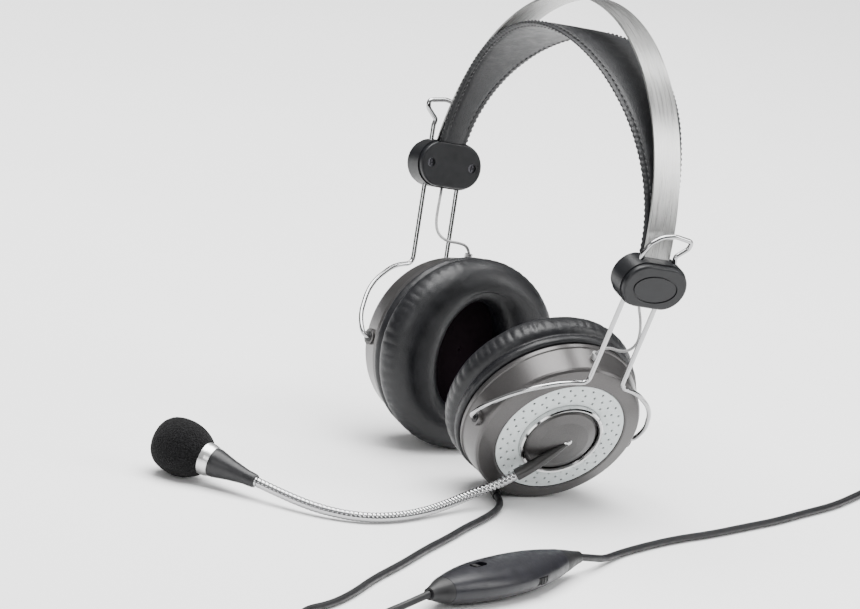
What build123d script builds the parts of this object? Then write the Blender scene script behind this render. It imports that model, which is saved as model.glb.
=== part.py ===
"""Office headset: steel headband, wire yokes, two ear cups, a gooseneck microphone and a corded controller.

Millimetres. The headset is drawn upright in its own head frame, with X to the wearer's left, -Y to the
front and Z up, and every piece is placed through the plane `stand`, which leans it back onto the table.
Each ear cup, slider block and yoke has a frame of its own: local x towards the rear on the left side and
towards the front on the right side, local y up and local z outward, so both sides share one description.
"""
from build123d import *
import os
from math import atan2, cos, degrees, hypot, radians, sin, tan

os.makedirs("parts", exist_ok=True)

# ---------------------------------------------------------------- driving dimensions
lean = 8.0                      # the headset leans back by this much, in degrees
stand_drop = 69.76              # head frame origin above the table
stand_shift_y = 44.6            # puts the box of the headset over the origin, front to back
stand_shift_x = 0.0

block_x = 85.4                  # slider block centre from the middle plane
block_z = 179.1
yoke_lean = 12.46               # the wires run inward towards the cups, in degrees
block_length = 31.0
block_height = 20.0
block_depth = 12.6

band_width = 12.7
band_thickness = 1.0
band_radius_x = 86.2            # half axes of the band's arch
band_radius_z = 94.6
band_centre_z = 179.6
strap_radius_x = 83.3
strap_radius_z = 73.8
strap_centre_z = 185.5
strap_thickness = 3.4
strap_end_half = 6.6            # half width of the strap at the blocks
strap_crown_half = 19.5         # and at the crown

wire_radius = 1.0
wire_spacing = 16.3             # between the two legs of a yoke
bail_drop = 33.1                # from the bends down to the pivots, along the legs
bail_inset = 21.9               # and inward, across them
loop_rise = 60.4                # from the bends up to the pinch below the top loop
pivot_reach = 32.0              # inner end of each pivot pin
running_gap = 0.05

cup_raise = 2.1                 # cup centre above the pivot line
housing_radius = 38.3
cushion_radius = 41.0
ring_outer = 27.9
ring_inner = 18.3
bezel_inner = 16.3
hub_radius = 15.9
stem_radius = 6.1
seat_height = 6.2               # the flat that the ring sits on, above the pivot plane
rim_height = -8.0               # back plane of the housing
baffle_height = -10.0
cushion_back = -27.0
opening_half = (15.1, 22.7)     # half axes of the opening in the cushion

sides = (
    # name, sign, block centre to bends, tilt of the cup against its yoke
    ("left", 1, 49.2, 13.06),
    ("right", -1, 43.4, -9.8),
)

boom_angle = 229.0              # direction of the boom arm in the left cup's plane
boom_reach = 23.0
boom_height = 14.6
gooseneck_radius = 2.1
foam_radius = 11.8

cord_radius = 1.5
bridge_radius = 0.6
controller_length = 99.6

stand = Plane(
    origin=(stand_shift_x, stand_shift_y, -stand_drop),
    x_dir=(1, 0, 0),
    z_dir=(0, sin(radians(lean)), cos(radians(lean))),
)


# ---------------------------------------------------------------- frames and helpers
def at(x, y, z):
    """A point of the upright head frame, where it comes to stand."""
    return stand.from_local_coords(Vector(x, y, z))


def along(x, y, z):
    """A direction of the upright head frame."""
    return at(x, y, z) - at(0, 0, 0)


def side_frame(origin, sign, tilt):
    """A frame with its outward axis tipped down by `tilt` degrees."""
    a = radians(tilt)
    return Plane(
        origin=origin,
        x_dir=along(0, sign, 0),
        z_dir=along(sign * cos(a), 0, -sin(a)),
    )


def lifted(frame, x, y, z):
    """The same directions, from another origin given in the frame."""
    return Plane(
        origin=frame.from_local_coords(Vector(x, y, z)),
        x_dir=frame.x_dir,
        z_dir=frame.z_dir,
    )


def block_frame(sign):
    return side_frame(at(sign * block_x, 0, block_z), sign, yoke_lean)


def pivot_frame(sign, leg, tilt):
    """The cup's frame with its origin on the pivot line."""
    block = block_frame(sign)
    origin = block.from_local_coords(Vector(0, -leg - bail_drop, -bail_inset))
    return side_frame(origin, sign, yoke_lean + tilt)


def cup_frame(sign, leg, tilt):
    return lifted(pivot_frame(sign, leg, tilt), 0, cup_raise, 0)


def turned(frame, outline):
    """Turn a closed outline of (radius, height) points about the frame's own axis."""
    with BuildSketch(Plane(origin=frame.origin, x_dir=frame.x_dir, z_dir=-frame.y_dir)) as half:
        with BuildLine():
            Polyline(*outline, close=True)
        make_face()
    revolve(half.sketch, axis=Axis(frame.origin, frame.z_dir))


def axial(start, end):
    """A frame at `start` that looks towards `end`."""
    return Plane(origin=start, z_dir=Vector(*end) - Vector(*start))


def rod(start, end, radius, mode=Mode.ADD):
    """A plain round rod between two points, or a round hole."""
    with BuildSketch(axial(start, end)) as disc:
        Circle(radius)
    extrude(disc.sketch, amount=(Vector(*end) - Vector(*start)).length, mode=mode)


def bend_radii(points):
    """The largest tangent arc that both runs at each corner allow."""
    radii = []
    for a, b, c in zip(points, points[1:], points[2:]):
        before = Vector(*b) - Vector(*a)
        after = Vector(*c) - Vector(*b)
        half_turn = radians(before.get_angle(after)) / 2
        radii.append(0.45 * min(before.length, after.length) / tan(half_turn))
    return radii


def tube(points, radii, radius):
    """Sweep a round section along straight runs that tangent arcs join."""
    with BuildLine():
        route = FilletPolyline(*points, radius=radii)
    with BuildSketch(Plane(origin=route @ 0, z_dir=route % 0)) as section:
        Circle(radius)
    sweep(section.sketch, path=route)
    return route.length


def cord(label, points, radius):
    """A free cord's tube, with its bends and length printed."""
    radii = bend_radii(points)
    length = tube(points, radii, radius)
    print(label, "radii", [round(r, 1) for r in radii], "length", round(length, 1))
    return length


# ---------------------------------------------------------------- headband
with BuildPart() as outer_band:
    with BuildSketch(Plane(origin=at(0, band_width / 2, 0), x_dir=along(1, 0, 0), z_dir=along(0, -1, 0))):
        with Locations((0, band_centre_z)):
            Ellipse(band_radius_x + band_thickness / 2, band_radius_z + band_thickness / 2)
            Ellipse(
                band_radius_x - band_thickness / 2, band_radius_z - band_thickness / 2, mode=Mode.SUBTRACT,
            )
        with Locations((0, band_centre_z - 4 - band_radius_z)):
            Rectangle(4 * band_radius_x, 2 * band_radius_z, mode=Mode.SUBTRACT)
    extrude(amount=band_width)
outer_band.part.label = "outer_band"
export_step(outer_band.part, "parts/outer_band.step")

# A leaf-shaped padded strap: narrow at the blocks and widest over the crown.
with BuildPart() as head_strap:
    with BuildSketch(Plane(origin=at(0, strap_crown_half, 0), x_dir=along(1, 0, 0), z_dir=along(0, -1, 0))):
        with Locations((0, strap_centre_z)):
            Ellipse(strap_radius_x + strap_thickness / 2, strap_radius_z + strap_thickness / 2)
            Ellipse(
                strap_radius_x - strap_thickness / 2, strap_radius_z - strap_thickness / 2,
                mode=Mode.SUBTRACT,
            )
        with Locations((0, strap_centre_z - strap_radius_z)):
            Rectangle(4 * strap_radius_x, 2 * strap_radius_z, mode=Mode.SUBTRACT)
    extrude(amount=2 * strap_crown_half)
    with BuildSketch(Plane(origin=at(0, 0, strap_centre_z - 2), x_dir=along(1, 0, 0), z_dir=along(0, 0, 1))):
        with BuildLine():
            swell = strap_crown_half - strap_end_half
            edge_x = strap_radius_x + strap_thickness
            shares = (-1.0, -0.75, -0.5, -0.25, 0.0, 0.25, 0.5, 0.75, 1.0)
            back_edge = [(s * edge_x, strap_end_half + swell * (1 - s * s)) for s in shares]
            Polyline(*back_edge, *[(x, -y) for x, y in reversed(back_edge)], close=True)
        make_face()
    extrude(amount=strap_radius_z + 10, mode=Mode.INTERSECT)
head_strap.part.label = "head_strap"
export_step(head_strap.part, "parts/head_strap.step")

# ---------------------------------------------------------------- wire yokes
for side, sign, leg, tilt in sides:
    block = block_frame(sign)
    bail_height = hypot(bail_drop, bail_inset)
    bail_radius = hypot(bail_height, wire_spacing / 2)
    bail_span = atan2(bail_height, wire_spacing / 2)

    def bail_point(x, height, leg=leg, block=block):
        """A point of the bail, from the pivot line up towards the bends."""
        share = height / bail_height
        y = -leg - bail_drop + share * bail_drop
        z = -bail_inset + share * bail_inset
        return block.from_local_coords(Vector(x, y, z))

    corner_angles = [bail_span / 6, bail_span / 2, 5 * bail_span / 6]
    corner_radius = bail_radius / cos(bail_span / 6)
    points = [bail_point(-pivot_reach, 0), bail_point(-bail_radius, 0)]
    for angle in corner_angles:
        points.append(bail_point(-corner_radius * cos(angle), corner_radius * sin(angle)))
    points.append(bail_point(-wire_spacing / 2, bail_height))
    pinch = loop_rise - leg
    for x, y in (
        (-8.15, pinch + 1.0),
        (-6.6, pinch + 5.2),
        (-2.4, pinch + 8.8),
        (3.6, pinch + 10.2),
        (12.4, pinch + 8.9),
        (11.9, pinch + 5.6),
        (7.4, pinch + 1.2),
        (8.15, pinch - 1.2),
    ):
        points.append(block.from_local_coords(Vector(x, y, 0)))
    points.append(bail_point(wire_spacing / 2, bail_height))
    for angle in reversed(corner_angles):
        points.append(bail_point(corner_radius * cos(angle), corner_radius * sin(angle)))
    points += [bail_point(bail_radius, 0), bail_point(pivot_reach, 0)]
    radii = [3.0, 24.0, 38.0, 24.0, 3.6, 6.0, 5.5, 6.5, 8.0, 1.7, 2.6, 1.6, 2.2, 3.6, 24.0, 38.0, 24.0, 3.0]
    with BuildPart() as yoke_wire:
        wire_length = tube(points, radii, wire_radius)
    print("yoke", side, "length", round(wire_length, 1))
    yoke_wire.part.label = f"yoke_wire_{side}"
    export_step(yoke_wire.part, f"parts/yoke_wire_{side}.step")

# ---------------------------------------------------------------- slider blocks
screw_spacing = 20.5
screw_radius = 1.1
screw_head_radius = 1.9
pad_size = (3.4, 4.0, 4.4)
pad_rise = 5.6                  # the pads sit above the screws
half_depth = block_depth / 2
plate_depth = 2.6               # the face plates, set in by a small step
plate_step = 0.5
block_screws = Part()
slider_pads = Part()


def band_slots(sign):
    """Cut the pockets that take the ends of the steel band and of the strap."""
    for x, width, depth, bottom in (
        (band_radius_x - 0.1, band_width, band_thickness + 0.7, band_centre_z - 4.3),
        (strap_radius_x, 2 * strap_end_half + 1.2, strap_thickness + 0.4, strap_centre_z),
    ):
        pocket = Plane(origin=at(sign * x, 0, bottom), x_dir=along(0, 1, 0), z_dir=along(0, 0, 1))
        with BuildSketch(pocket) as floor:
            Rectangle(width, depth)
        extrude(floor.sketch, amount=block_height, mode=Mode.SUBTRACT)
    # the strap leans inwards as it rises, out of the upright pocket
    add(head_strap.part, mode=Mode.SUBTRACT)


for side, sign, leg, tilt in sides:
    block = block_frame(sign)
    for name, keep, face in (("block_outer", Keep.TOP, 1), ("block_inner", Keep.BOTTOM, -1)):
        with BuildPart() as block_half:
            with BuildSketch(lifted(block, 0, 0, -half_depth + plate_depth)):
                SlotOverall(block_length, block_height)
            extrude(amount=block_depth - 2 * plate_depth)
            with BuildSketch(lifted(block, 0, 0, -half_depth)):
                SlotOverall(block_length - 2 * plate_step, block_height - 2 * plate_step)
            extrude(amount=block_depth)
            ends = block_half.faces().sort_by(Axis(block.origin, block.z_dir))
            fillet(ends[-1].edges(), 1.2)
            ends = block_half.faces().sort_by(Axis(block.origin, block.z_dir))
            fillet(ends[0].edges(), 0.8)
            split(bisect_by=block, keep=keep)
            for x in (-wire_spacing / 2, wire_spacing / 2):
                rod(
                    block.from_local_coords(Vector(x, -block_height, 0)),
                    block.from_local_coords(Vector(x, block_height, 0)),
                    wire_radius + 0.3,
                    Mode.SUBTRACT,
                )
                with BuildSketch(lifted(block, x, pad_rise, -pad_size[2] / 2)):
                    Rectangle(pad_size[0], pad_size[1])
                extrude(amount=pad_size[2], mode=Mode.SUBTRACT)
            for x in (-screw_spacing / 2, screw_spacing / 2):
                depth = half_depth - 2.0
                rod(
                    block.from_local_coords(Vector(x, 0, -half_depth - 1)),
                    block.from_local_coords(Vector(x, 0, depth)),
                    screw_radius,
                    Mode.SUBTRACT,
                )
                rod(
                    block.from_local_coords(Vector(x, 0, -half_depth - 1)),
                    block.from_local_coords(Vector(x, 0, -half_depth + 2.2)),
                    screw_head_radius,
                    Mode.SUBTRACT,
                )
            if face == 1:
                # a shallow oval badge recess, left blank
                with BuildSketch(lifted(block, 0, -0.6, half_depth - 0.5)):
                    Ellipse(10.6, 6.2)
                    Ellipse(9.9, 5.5, mode=Mode.SUBTRACT)
                extrude(amount=1, mode=Mode.SUBTRACT)
            band_slots(sign)
            # a recess in the underside, where the bridge lead leaves
            rod(
                block.from_local_coords(Vector(0, -block_height / 2 - 1, -1.0)),
                block.from_local_coords(Vector(0, -block_height / 2 + 0.8, -1.0)),
                2 * bridge_radius,
                Mode.SUBTRACT,
            )
        block_half.part.label = f"{name}_{side}"
        export_step(block_half.part, f"parts/{name}_{side}.step")
    for x in (-screw_spacing / 2, screw_spacing / 2):
        with BuildPart() as screw:
            shank_start = block.from_local_coords(Vector(x, 0, -half_depth + 1.4))
            shank_end = block.from_local_coords(Vector(x, 0, half_depth - 2.0))
            head_start = block.from_local_coords(Vector(x, 0, -half_depth + 0.9))
            head_end = block.from_local_coords(Vector(x, 0, -half_depth + 2.2))
            rod(head_start, head_end, screw_head_radius)
            rod(shank_start, shank_end, screw_radius)
            with BuildSketch(lifted(block, x, 0, -half_depth + 0.9)):
                Rectangle(2.4, 0.5)
                Rectangle(0.5, 2.4)
            extrude(amount=0.7, mode=Mode.SUBTRACT)
        block_screws += screw.part
    for x in (-wire_spacing / 2, wire_spacing / 2):
        with BuildPart() as pad:
            with BuildSketch(lifted(block, x, pad_rise, -pad_size[2] / 2)):
                Rectangle(pad_size[0], pad_size[1])
            extrude(amount=pad_size[2])
            rod(
                block.from_local_coords(Vector(x, -block_height, 0)),
                block.from_local_coords(Vector(x, block_height, 0)),
                wire_radius + running_gap,
                Mode.SUBTRACT,
            )
            add(head_strap.part, mode=Mode.SUBTRACT)    # room for the strap's edges
        slider_pads += pad.part

block_screws.label = "block_screws"
export_step(block_screws, "parts/block_screws.step")
slider_pads.label = "slider_pads"
export_step(slider_pads, "parts/slider_pads.step")

# ---------------------------------------------------------------- ear cups
hole_rows = ((20.4, 24, 0.0), (23.1, 30, 0.5), (25.8, 30, 0.0))
grille_hole_radius = 0.55
gland_foot = Vector(30.5, 45.1, 2.3)
gland_mouth = Vector(41.0, 41.2, 1.85)
gland_root = Vector(30.3, 46.2, 8.5)

for side, sign, leg, tilt in sides:
    cup = cup_frame(sign, leg, tilt)
    pivot = pivot_frame(sign, leg, tilt)

    # the satin cover: seat for the ring, sloped shoulder, side wall and rim bead
    with BuildPart() as cup_housing:
        turned(cup, (
            (stem_radius + 0.1, 4.4), (stem_radius + 0.1, seat_height), (28.2, seat_height),
            (28.2, 7.5), (29.0, 7.6), (34.9, 6.0), (35.7, 5.2), (36.0, 4.4), (37.7, -5.2),
            (housing_radius, -5.6), (housing_radius, -7.2), (37.9, rim_height), (36.0, rim_height),
            (36.0, -5.6), (34.2, 3.6), (28.0, 4.4),
        ))
        for x in (-1, 1):
            rod(
                pivot.from_local_coords(Vector(x * 33.4, 0, 0)),
                pivot.from_local_coords(Vector(x * 37.9, 0, 0)),
                3.4,
            )
        for x in (-1, 1):
            rod(
                pivot.from_local_coords(Vector(x * 30.0, 0, 0)),
                pivot.from_local_coords(Vector(x * 39.0, 0, 0)),
                2.2,
                Mode.SUBTRACT,
            )
        rod(
            cup.from_local_coords(Vector(0, 33.0, -1.0)),
            cup.from_local_coords(Vector(0, 38.0, -1.0)),
            1.7,
            Mode.SUBTRACT,
        )
        if side == "left":
            rod(gland_root, gland_foot, 2.2, Mode.SUBTRACT)
            rod(gland_foot, gland_mouth, 2.2, Mode.SUBTRACT)
    cup_housing.part.label = f"cup_housing_{side}"
    export_step(cup_housing.part, f"parts/cup_housing_{side}.step")

    # perforated trim ring
    with BuildPart() as grille_ring:
        turned(cup, (
            (ring_inner, seat_height), (ring_inner, 7.9), (ring_outer, 7.3), (ring_outer, seat_height),
        ))
        with BuildSketch(lifted(cup, 0, 0, seat_height - 1)):
            for row_radius, count, offset in hole_rows:
                with PolarLocations(row_radius, count, start_angle=offset * 360 / count):
                    Circle(grille_hole_radius)
        extrude(amount=4, mode=Mode.SUBTRACT)
    grille_ring.part.label = f"grille_ring_{side}"
    export_step(grille_ring.part, f"parts/grille_ring_{side}.step")

    # bright bezel round the middle
    with BuildPart() as bezel:
        turned(cup, (
            (bezel_inner, seat_height), (bezel_inner, 9.4), (16.7, 10.2), (17.4, 10.4),
            (18.0, 9.9), (18.2, 9.0), (18.2, seat_height),
        ))
    bezel.part.label = f"centre_bezel_{side}"
    export_step(bezel.part, f"parts/centre_bezel_{side}.step")

    # pivot bushes in the housing wall, one for each pin of the yoke
    pivot_bushes = Part()
    for x in (-1, 1):
        with BuildPart() as bush:
            rod(
                pivot.from_local_coords(Vector(x * 31.5, 0, 0)),
                pivot.from_local_coords(Vector(x * 38.1, 0, 0)),
                2.2,
            )
            rod(
                pivot.from_local_coords(Vector(x * 31.0, 0, 0)),
                pivot.from_local_coords(Vector(x * 39.0, 0, 0)),
                wire_radius + running_gap,
                Mode.SUBTRACT,
            )
        pivot_bushes += bush.part
    pivot_bushes.label = f"pivot_bushes_{side}"
    export_step(pivot_bushes, f"parts/pivot_bushes_{side}.step")

    # the port where the thin bridge lead enters
    with BuildPart() as port:
        rod(
            cup.from_local_coords(Vector(0, 33.4, -1.0)),
            cup.from_local_coords(Vector(0, 39.2, -1.0)),
            1.7,
        )
        rod(
            cup.from_local_coords(Vector(0, 33.0, -1.0)),
            cup.from_local_coords(Vector(0, 40.0, -1.0)),
            0.65,
            Mode.SUBTRACT,
        )
    port.part.label = f"lead_port_{side}"
    export_step(port.part, f"parts/lead_port_{side}.step")

    # baffle that closes the back and carries the driver
    with BuildPart() as baffle:
        turned(cup, ((0, rim_height), (0, baffle_height), (37.4, baffle_height), (37.4, rim_height)))
        with BuildSketch(lifted(cup, 0, 0, baffle_height - 1)):
            with PolarLocations(9.5, 8):
                SlotOverall(6.5, 2.2)
            with PolarLocations(25.5, 6):
                Circle(1.6)
            for x, y in ((0, 30.5), (26.4, -15.2), (-26.4, -15.2)):
                with Locations((x, y)):
                    Circle(1.1)
        extrude(amount=4, mode=Mode.SUBTRACT)
    baffle.part.label = f"baffle_plate_{side}"
    export_step(baffle.part, f"parts/baffle_plate_{side}.step")

    with BuildPart() as basket:
        turned(cup, (
            (15.0, rim_height), (19.6, rim_height), (19.6, -6.8), (18.4, -6.8),
            (12.2, -3.6), (12.2, -2.2), (9.0, -2.2), (9.0, -3.6), (15.0, -7.0),
        ))
    basket.part.label = f"driver_basket_{side}"
    export_step(basket.part, f"parts/driver_basket_{side}.step")

    with BuildPart() as magnet:
        turned(cup, ((0, -2.2), (10.8, -2.2), (10.8, 1.2), (0, 1.2)))
        chamfer(magnet.edges().filter_by(GeomType.CIRCLE), 0.4)
    magnet.part.label = f"driver_magnet_{side}"
    export_step(magnet.part, f"parts/driver_magnet_{side}.step")

    cup_screws = Part()
    for x, y in ((0, 30.5), (26.4, -15.2), (-26.4, -15.2)):
        with BuildPart() as screw:
            rod(
                cup.from_local_coords(Vector(x, y, baffle_height)),
                cup.from_local_coords(Vector(x, y, -1.5)),
                1.1,
            )
            rod(
                cup.from_local_coords(Vector(x, y, rim_height)),
                cup.from_local_coords(Vector(x, y, rim_height + 1.2)),
                2.0,
            )
        cup_screws += screw.part
    cup_screws.label = f"cup_screws_{side}"
    export_step(cup_screws, f"parts/cup_screws_{side}.step")

    # padded ring: a skirt over the baffle's edge, then the puffed roll with an oval opening
    with BuildPart() as ear_cushion:
        turned(cup, (
            (0, baffle_height), (37.6, baffle_height), (37.6, rim_height - 0.1), (38.9, rim_height - 0.1),
            (39.4, -11.0), (39.0, -12.6), (40.6, -14.4), (cushion_radius, -17.0), (40.6, -20.0),
            (39.2, -23.0), (36.4, -25.6), (32.5, cushion_back), (0, cushion_back),
        ))
        with BuildSketch(lifted(cup, 0, 0, cushion_back - 1)):
            Ellipse(*opening_half)
        extrude(amount=30, mode=Mode.SUBTRACT)
    ear_cushion.part.label = f"ear_cushion_{side}"
    export_step(ear_cushion.part, f"parts/ear_cushion_{side}.step")

    with BuildPart() as cloth:
        with BuildSketch(lifted(cup, 0, 0, baffle_height)):
            Ellipse(opening_half[0] - 0.1, opening_half[1] - 0.1)
        extrude(amount=-0.8)
    cloth.part.label = f"inner_cloth_{side}"
    export_step(cloth.part, f"parts/inner_cloth_{side}.step")

# ---------------------------------------------------------------- caps in the middle of each cup
hub_outline = (
    (0, 2.2), (stem_radius - 0.7, 2.2), (stem_radius, 2.6), (stem_radius, 3.1), (5.3, 3.1), (5.3, 4.0),
    (stem_radius, 4.0), (stem_radius, 6.6), (hub_radius, 6.6), (hub_radius, 8.6), (14.6, 9.8),
    (11.0, 11.3), (6.0, 12.3), (0, 12.7),
)
left_cup = cup_frame(*sides[0][1:])
right_cup = cup_frame(*sides[1][1:])

with BuildPart() as boom_hub:
    turned(left_cup, hub_outline)
boom_hub.part.label = "boom_hub"
export_step(boom_hub.part, "parts/boom_hub.step")

with BuildPart() as centre_cap:
    turned(right_cup, hub_outline)
centre_cap.part.label = "centre_cap_right"
export_step(centre_cap.part, "parts/centre_cap_right.step")

for name, frame in (("boom_clip", left_cup), ("cap_clip", right_cup)):
    with BuildPart() as clip:
        turned(frame, ((5.3, 3.1), (9.0, 3.1), (9.0, 4.0), (5.3, 4.0)))
        with BuildSketch(lifted(frame, 7.0, 0, 2.0)):
            Rectangle(6.0, 3.0)
        extrude(amount=3, mode=Mode.SUBTRACT)
    clip.part.label = name
    export_step(clip.part, f"parts/{name}.step")

# ---------------------------------------------------------------- boom arm and gooseneck
arm_x = cos(radians(boom_angle))
arm_y = sin(radians(boom_angle))


def arm_frame(reach, height):
    """A cross-section frame of the arm, `reach` along it from the hub's axis."""
    return Plane(
        origin=left_cup.from_local_coords(Vector(reach * arm_x, reach * arm_y, height)),
        x_dir=left_cup.z_dir,
        z_dir=left_cup.from_local_coords(Vector(arm_x, arm_y, 0)) - left_cup.origin,
    )


with BuildPart() as boom_arm:
    for reach, height, width, depth in (
        (-1.5, 12.6, 1.6, 1.6), (4.0, 13.2, 3.4, 3.2), (13.0, 14.2, 4.6, 5.0),
        (boom_reach, boom_height, 5.2, 5.2),
    ):
        with BuildSketch(arm_frame(reach, height)):
            Ellipse(depth / 2, width / 2)
    loft()
    add(boom_hub.part, mode=Mode.SUBTRACT)
boom_arm.part.label = "boom_arm"
export_step(boom_arm.part, "parts/boom_arm.step")

arm_end = left_cup.from_local_coords(Vector(boom_reach * arm_x, boom_reach * arm_y, boom_height))
cone_start = Vector(32.0, -68.6, 7.2)
foam_centre = Vector(0.6, -87.2, 12.0)
mic_axis = (foam_centre - cone_start).normalized()
gooseneck_points = (
    tuple(arm_end),
    (50.2, 35.0, 10.2),
    (50.2, 23.4, 6.2),
    (55.0, 10.0, 3.7),
    (61.2, -4.6, 2.5),
    (66.2, -20.6, 2.25),
    (66.4, -36.0, 2.3),
    (58.6, -49.6, 2.9),
    (46.2, -59.9, 4.6),
    tuple(cone_start),
)
with BuildPart() as gooseneck:
    gooseneck_length = tube(gooseneck_points, bend_radii(gooseneck_points), gooseneck_radius)
print("gooseneck length", round(gooseneck_length, 1), [round(r) for r in bend_radii(gooseneck_points)])
gooseneck.part.label = "gooseneck"
export_step(gooseneck.part, "parts/gooseneck.step")

# ---------------------------------------------------------------- microphone
foam_distance = (foam_centre - cone_start).length
cone_length = 20.5
collar_length = 4.2
mic_plane = Plane(origin=cone_start, z_dir=mic_axis)

with BuildPart() as mic_cone:
    turned(mic_plane, (
        (0, 0), (2.7, 0), (2.9, 0.6), (3.2, 5.0), (4.4, 12.0), (6.0, 19.0),
        (6.1, cone_length), (0, cone_length),
    ))
mic_cone.part.label = "mic_cone"
export_step(mic_cone.part, "parts/mic_cone.step")

with BuildPart() as mic_collar:
    turned(mic_plane, (
        (5.0, cone_length), (6.3, cone_length), (6.8, cone_length + 2.2), (7.0, cone_length + collar_length),
        (5.0, cone_length + collar_length),
    ))
mic_collar.part.label = "mic_collar"
export_step(mic_collar.part, "parts/mic_collar.step")

capsule_radius = 4.9
with BuildPart() as mic_capsule:
    turned(mic_plane, (
        (0, cone_length), (capsule_radius, cone_length), (capsule_radius, cone_length + 11.0),
        (capsule_radius - 0.6, cone_length + 11.6), (0, cone_length + 11.6),
    ))
mic_capsule.part.label = "mic_capsule"
export_step(mic_capsule.part, "parts/mic_capsule.step")

foam_front = foam_distance + 12.6
foam_back = cone_length + collar_length
with BuildPart() as mic_foam:
    turned(mic_plane, (
        (0, foam_front), (4.2, foam_front - 0.5), (8.4, foam_front - 3.0), (11.0, foam_front - 7.4),
        (foam_radius, foam_distance), (11.4, foam_distance - 4.0), (9.8, foam_distance - 8.4),
        (7.4, foam_back + 0.2), (capsule_radius, foam_back), (capsule_radius, cone_length + 11.6),
        (0, cone_length + 11.6),
    ))
mic_foam.part.label = "mic_foam"
export_step(mic_foam.part, "parts/mic_foam.step")

# ---------------------------------------------------------------- gland under the left cup
with BuildPart() as cord_gland:
    rod(gland_root, gland_foot, 2.2)
    gland_run = axial(gland_foot, gland_mouth)
    with BuildSketch(gland_run):
        Circle(2.2)
    with BuildSketch(lifted(gland_run, 0, 0, (gland_mouth - gland_foot).length)):
        Circle(1.75)
    loft()
    with BuildSketch(gland_run):
        Circle(2.2)
    extrude(amount=-1.5)
cord_gland.part.label = "cord_gland"
export_step(cord_gland.part, "parts/cord_gland.step")

# ---------------------------------------------------------------- in-line controller
controller_height = 7.45        # of its middle line above the table
controller_middle = Vector(155.1, -21.7, controller_height)
controller_angle = degrees(atan2(0.918, -0.396))
controller = Plane(
    origin=controller_middle,
    x_dir=(cos(radians(controller_angle)), sin(radians(controller_angle)), 0),
    z_dir=(0, 0, 1),
)
shell_sections = (
    # along the body, width, height
    (-40.0, 12.6, 10.6), (-31.0, 17.6, 13.0), (-16.0, 23.4, 14.8), (2.0, 25.0, 14.8),
    (17.0, 21.6, 14.2), (28.0, 16.6, 12.4), (35.0, 12.6, 10.8),
)
wall = 1.7
split_level = -2.6              # the seam between the two shells


def controller_section(along_body, width, height):
    with BuildSketch(Plane(
        origin=controller.from_local_coords(Vector(along_body, 0, 0)),
        x_dir=controller.y_dir,
        z_dir=controller.x_dir,
    )) as section:
        Ellipse(width / 2, height / 2)
    return section.sketch


outer_form = loft([controller_section(*s) for s in shell_sections])
inner_form = loft([controller_section(x, w - 2 * wall, h - 2 * wall) for x, w, h in shell_sections])
wheel_x = 10.0
wheel_y = -6.9                  # the thumbwheel's axle, so that its rim breaks the near edge
wheel_radius = 5.6
wheel_bore = 1.5
switch_x = -18.5
seam = lifted(controller, 0, 0, split_level)

for name, keep in (("controller_top", Keep.TOP), ("controller_bottom", Keep.BOTTOM)):
    with BuildPart() as shell:
        add(outer_form)
        add(inner_form, mode=Mode.SUBTRACT)
        # slot for the thumbwheel's rim
        with BuildSketch(lifted(controller, wheel_x, wheel_y, -2.0)):
            Circle(wheel_radius + 0.4)
        extrude(amount=3.2, mode=Mode.SUBTRACT)
        # slot for the mute switch
        with BuildSketch(lifted(controller, switch_x, 0.5, 0)):
            SlotOverall(9.0, 4.2)
        extrude(amount=20, mode=Mode.SUBTRACT)
        split(bisect_by=seam, keep=keep)
    shell.part.label = name
    export_step(shell.part, f"parts/{name}.step")

with BuildPart() as control_board:
    with BuildSketch(lifted(controller, -1.0, 0, split_level)):
        RectangleRounded(40.0, 11.0, 1.5)
        with Locations((wheel_x + 1.0, wheel_y)):
            Circle(1.5)
    extrude(amount=-0.6)
control_board.part.label = "control_board"
export_step(control_board.part, "parts/control_board.step")

wheel_top = 0.9
wheel_bottom = -1.7
with BuildPart() as volume_wheel:
    with BuildSketch(lifted(controller, wheel_x, wheel_y, wheel_bottom)):
        Circle(wheel_radius)
        with PolarLocations(wheel_radius, 20):
            Circle(0.35, mode=Mode.SUBTRACT)
        Circle(wheel_bore + running_gap, mode=Mode.SUBTRACT)
    extrude(amount=wheel_top - wheel_bottom)
volume_wheel.part.label = "volume_wheel"
export_step(volume_wheel.part, "parts/volume_wheel.step")

with BuildPart() as wheel_axle:
    with BuildSketch(lifted(controller, wheel_x, wheel_y, split_level)):
        Circle(wheel_bore)
    extrude(amount=wheel_top - split_level + 0.8)
wheel_axle.part.label = "wheel_axle"
export_step(wheel_axle.part, "parts/wheel_axle.step")

# sliding knob that mutes the microphone: a foot under the shell and a ribbed tip in the slot
with BuildPart() as mic_switch:
    with BuildSketch(lifted(controller, switch_x - 1.6, 0.5, -1.2)):
        Rectangle(5.0, 5.6)
    extrude(amount=2.2)
    with BuildSketch(lifted(controller, switch_x - 1.6, 0.5, 0)):
        Rectangle(2.8, 3.2)
    extrude(amount=7.2)
mic_switch.part.label = "mic_switch"
export_step(mic_switch.part, "parts/mic_switch.step")

cord_reliefs = Part()
for face_x, end_x in ((-40.0, -controller_length / 2), (35.0, controller_length / 2)):
    with BuildPart() as relief:
        steps = ((0.0, 12.4, 10.4), (0.35, 9.8, 8.8), (0.7, 6.8, 6.6), (1.0, 5.0, 5.0))
        loft([controller_section(face_x + share * (end_x - face_x), w, h) for share, w, h in steps])
    cord_reliefs += relief.part
cord_reliefs.label = "cord_reliefs"
export_step(cord_reliefs, "parts/cord_reliefs.step")

# ---------------------------------------------------------------- free cord
port_in = controller.from_local_coords(Vector(-controller_length / 2, 0, 0))
port_out = controller.from_local_coords(Vector(controller_length / 2, 0, 0))

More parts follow.
